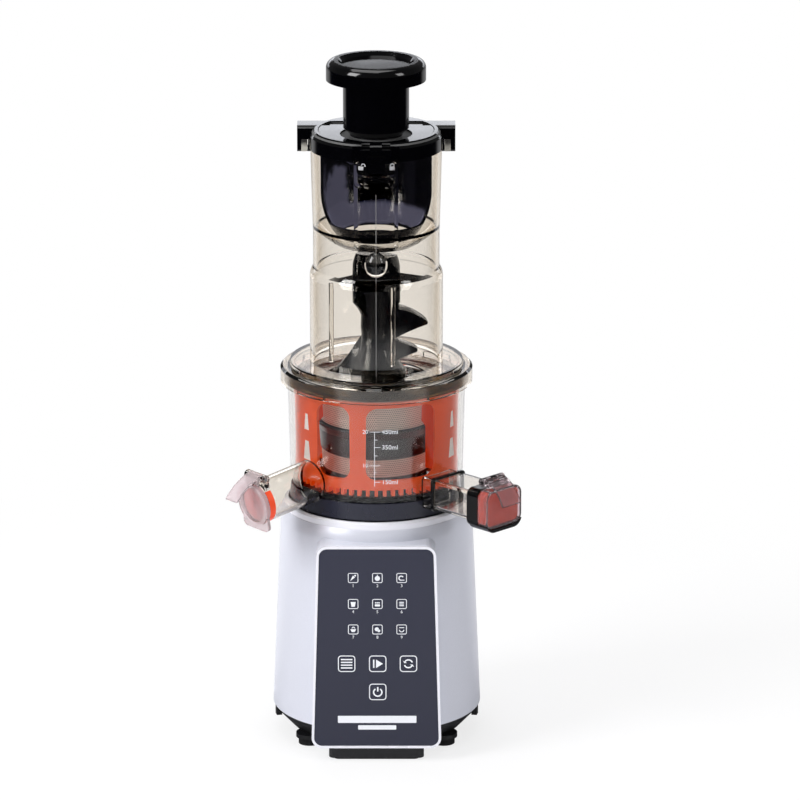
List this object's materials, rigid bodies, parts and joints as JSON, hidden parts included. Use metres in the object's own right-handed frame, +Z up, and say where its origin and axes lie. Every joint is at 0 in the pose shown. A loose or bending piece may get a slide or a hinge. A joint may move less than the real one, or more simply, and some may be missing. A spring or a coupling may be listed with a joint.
{
  "type": "slow juicer",
  "caption": "Vertical slow juicer with a motor base, geared drive, clear juicing bowl with auger, strainer and rotating wiper, two capped outlets and a hinged feed hopper with pusher.",
  "frame": {"origin": "on the surface it stands on, under the middle of the outline", "axes": "+Z up, the touch panel faces -Y, +X to the right of someone who faces the panel"},
  "size_m": [0.2332, 0.201, 0.5575],
  "materials": {
    "silver_shell": "satin metallic paint",
    "dark_tray": "fine texture",
    "soft_rubber": "matte",
    "touch_glass": "gloss dark printed panel",
    "bright_trim": "polished",
    "circuit": "solder mask",
    "black_gloss": "gloss",
    "navy_base": "satin",
    "steel": "turned",
    "steel_mesh": "perforated sheet",
    "copper": "lacquered wire",
    "core_steel": "laminated",
    "cast_alloy": "die cast",
    "gear_nylon": "moulded nylon",
    "smoke_clear": "clear smoked moulding",
    "grey_clear": "clear moulding",
    "auger_black": "satin",
    "wiper_orange": "satin translucent",
    "red_silicone": "soft silicone",
    "dark_silicone": "soft silicone"
  },
  "bodies": {
    "base": {"base_shell": "silver_shell", "panel_bezel": "bright_trim", "touch_panel": "touch_glass", "touch_board": "circuit", "bottom_tray": "dark_tray", "rubber_feet": "soft_rubber", "trim_ring": "bright_trim", "deck": "dark_tray", "shaft_seal": "dark_silicone", "deck_bearing": "steel", "rear_gland": "dark_tray", "base_screws": "steel", "control_board": "circuit", "run_capacitor": "gear_nylon", "lid_switch": "dark_tray", "motor_stator": "core_steel", "motor_windings": "copper", "motor_lower_bracket": "cast_alloy", "motor_upper_bracket": "cast_alloy", "motor_bearings": "steel", "motor_grommets": "soft_rubber", "gearbox_case": "cast_alloy", "gearbox_cover": "cast_alloy", "cluster_pin": "steel"},
    "rotor": {"motor_rotor": "core_steel", "motor_fan": "gear_nylon"},
    "cluster": {"cluster_gear": "gear_nylon"},
    "drive": {"output_gear": "gear_nylon", "drive_shaft": "steel"},
    "bowl": {"bowl_base": "navy_base", "bowl": "grey_clear", "bowl_seal": "dark_silicone", "juice_spout": "smoke_clear", "juice_seal": "red_silicone", "juice_cap_pin": "steel", "pulp_neck": "smoke_clear", "duct_frame": "black_gloss", "pulp_duct": "smoke_clear", "duct_collar": "black_gloss", "pulp_cap_pin": "black_gloss", "strainer_frame": "auger_black", "strainer_mesh": "steel_mesh"},
    "auger": {"auger": "auger_black", "auger_insert": "steel"},
    "idler": {"idler_pinion": "wiper_orange"},
    "wiper": {"wiper_frame": "wiper_orange", "wiper_blades": "red_silicone"},
    "juice_cap": {"juice_cap": "smoke_clear", "juice_cap_seal": "red_silicone"},
    "pulp_cap": {"pulp_cap": "smoke_clear", "pulp_cap_seal": "red_silicone"},
    "lid": {"hopper": "smoke_clear", "lid_gasket": "dark_silicone", "feed_collar": "black_gloss", "gate_pins": "steel", "feed_guard": "black_gloss"},
    "gate": {"feed_gate": "black_gloss"},
    "latch": {"latch": "black_gloss"},
    "pusher": {"pusher": "black_gloss"}
  },
  "joints": [
    {"name": "rotor_spin", "type": "hinge", "parent": "base", "child": "rotor", "pos_m": [0.00201, 0.01402, 0.043], "axis": [0, 0, 1], "continuous": true},
    {"name": "cluster_spin", "type": "hinge", "parent": "base", "child": "cluster", "pos_m": [0.00201, 0.04402, 0.1], "axis": [0, 0, 1], "continuous": true},
    {"name": "drive_spin", "type": "hinge", "parent": "base", "child": "drive", "pos_m": [0.00201, 0.01402, 0.114], "axis": [0, 0, 1], "continuous": true},
    {"name": "bowl_lift", "type": "slide", "parent": "base", "child": "bowl", "axis": [0, 0, 1], "range_m": [0, 0.09]},
    {"name": "auger_spin", "type": "hinge", "parent": "bowl", "child": "auger", "pos_m": [0.00201, 0.01402, 0.2203], "axis": [0, 0, 1], "continuous": true},
    {"name": "idler_spin", "type": "hinge", "parent": "bowl", "child": "idler", "pos_m": [0.00201, 0.05402, 0.2203], "axis": [0, 0, 1], "continuous": true},
    {"name": "wiper_spin", "type": "hinge", "parent": "bowl", "child": "wiper", "pos_m": [0.00201, 0.01402, 0.2203], "axis": [0, 0, 1], "continuous": true},
    {"name": "lid_twist", "type": "hinge", "parent": "bowl", "child": "lid", "pos_m": [0.00201, 0.01402, 0.294], "axis": [0, 0, 1], "range_deg": [-25, 0]},
    {"name": "gate_hinge", "type": "hinge", "parent": "lid", "child": "gate", "pos_m": [0.00201, 0.03602, 0.4935], "axis": [-1, 0, 0], "range_deg": [0, 90]},
    {"name": "latch_slide", "type": "slide", "parent": "lid", "child": "latch", "axis": [1, 0, 0], "range_m": [-0.006, 0.006]},
    {"name": "pusher_slide", "type": "slide", "parent": "gate", "child": "pusher", "axis": [0, 0, 1], "range_m": [-0.042, 0.05]},
    {"name": "juice_cap_hinge", "type": "hinge", "parent": "bowl", "child": "juice_cap", "pos_m": [-0.09198, -0.06485, 0.23617], "axis": [-0.6428, 0.766, 0], "range_deg": [0, 110]},
    {"name": "pulp_cap_hinge", "type": "hinge", "parent": "bowl", "child": "pulp_cap", "pos_m": [0.09316, -0.07713, 0.2374], "axis": [-0.7071, -0.7071, 0], "range_deg": [0, 110]}
  ],
  "couplings": [
    {"joint": "cluster_spin", "follows": "rotor_spin", "ratio": -0.2},
    {"joint": "drive_spin", "follows": "rotor_spin", "ratio": 0.04},
    {"joint": "auger_spin", "follows": "rotor_spin", "ratio": 0.04},
    {"joint": "idler_spin", "follows": "rotor_spin", "ratio": -0.04},
    {"joint": "wiper_spin", "follows": "rotor_spin", "ratio": -0.013333}
  ]
}
